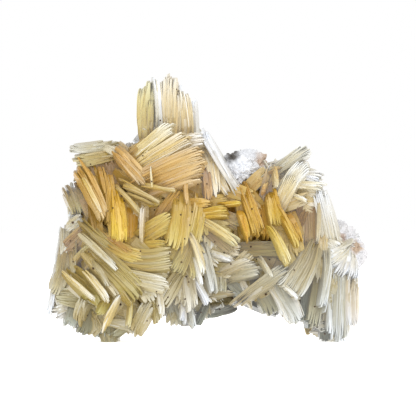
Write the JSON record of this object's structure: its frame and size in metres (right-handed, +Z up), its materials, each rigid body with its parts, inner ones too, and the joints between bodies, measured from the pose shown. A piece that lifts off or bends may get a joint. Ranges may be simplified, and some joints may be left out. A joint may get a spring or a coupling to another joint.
{
  "type": "bladed barite specimen",
  "caption": "Mineral specimen: crossing sheaves of thin pale yellow tabular barite blades on a white massive root, standing on two lobes.",
  "frame": {"origin": "middle of the specimen's bounding box, on the surface that it stands on", "axes": "+Z up, the bladed face looks along -Y, +X runs along the width"},
  "size_m": [0.1008, 0.0356, 0.0846],
  "materials": {
    "barite": "translucent vitreous blades, cream to yellow with white rims, rough white root, fine rust specks"
  },
  "bodies": {
    "root": {"barite_cluster": "barite"}
  },
  "joints": []
}
